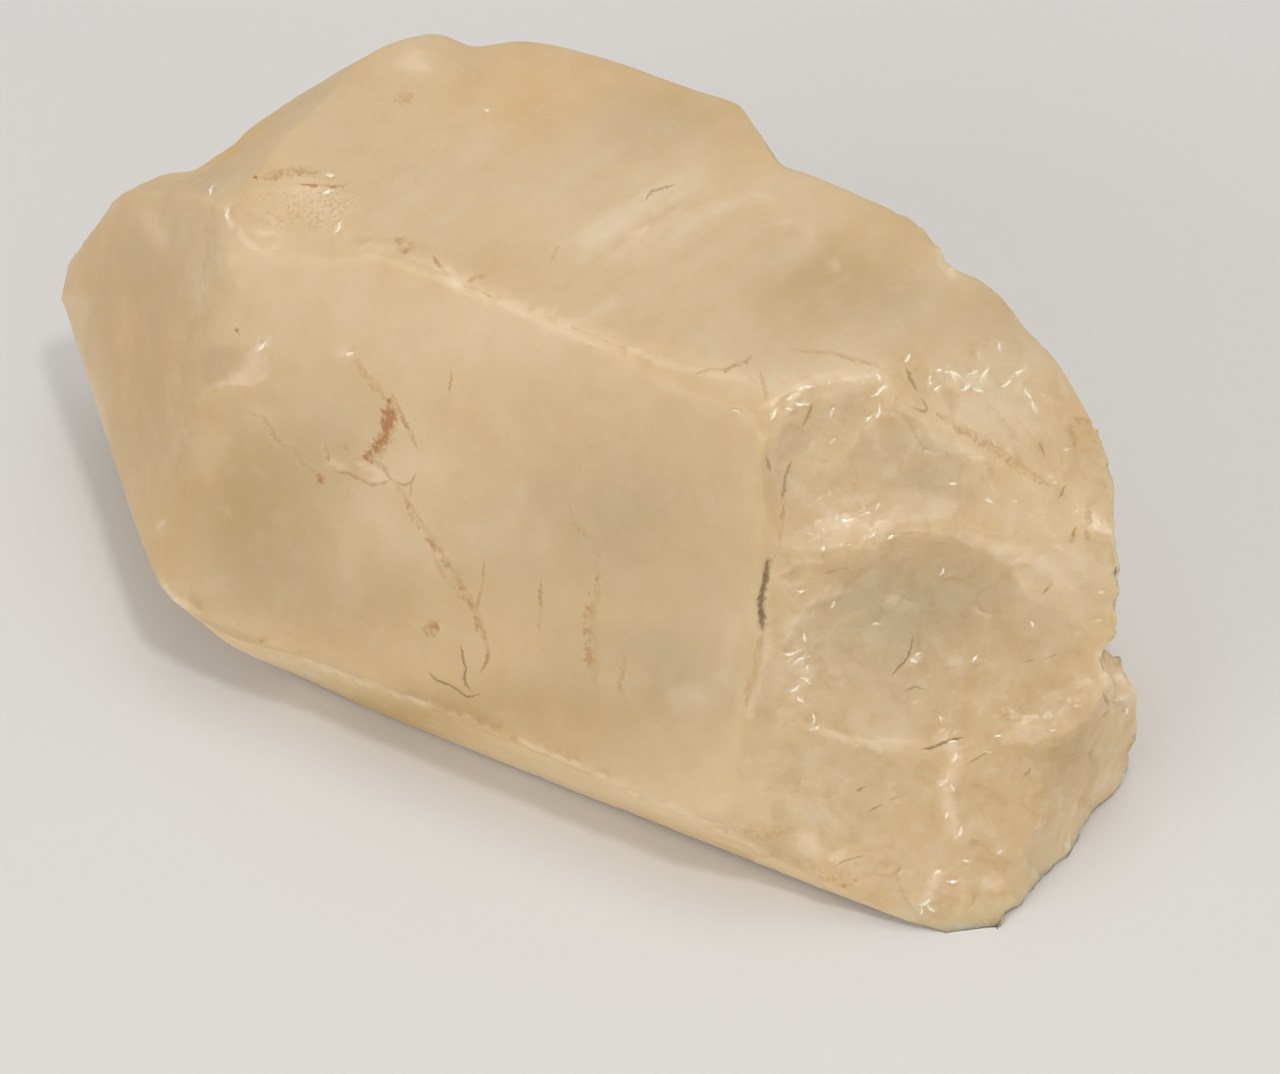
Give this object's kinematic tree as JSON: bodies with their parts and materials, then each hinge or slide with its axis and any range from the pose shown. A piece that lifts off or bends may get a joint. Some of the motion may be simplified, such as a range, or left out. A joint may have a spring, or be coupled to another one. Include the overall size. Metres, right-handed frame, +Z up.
{
  "type": "quartz crystal",
  "caption": "Worn, cloudy quartz crystal lying on a prism face: broad flat faces, a natural six-sided point and a broken base with shell-shaped scars.",
  "frame": {"origin": "bottom centre of the crystal's box, on the prism face it lies on", "axes": "+X along the crystal's long axis towards the broken base, +Z up; the big front face looks towards -Y and up"},
  "size_m": [0.119, 0.0664, 0.047],
  "materials": {
    "quartz": "cloudy, warm-tinted translucent quartz, satin on the crystal faces and glassy on the breaks"
  },
  "bodies": {
    "root": {"quartz_crystal": "quartz"}
  },
  "joints": []
}
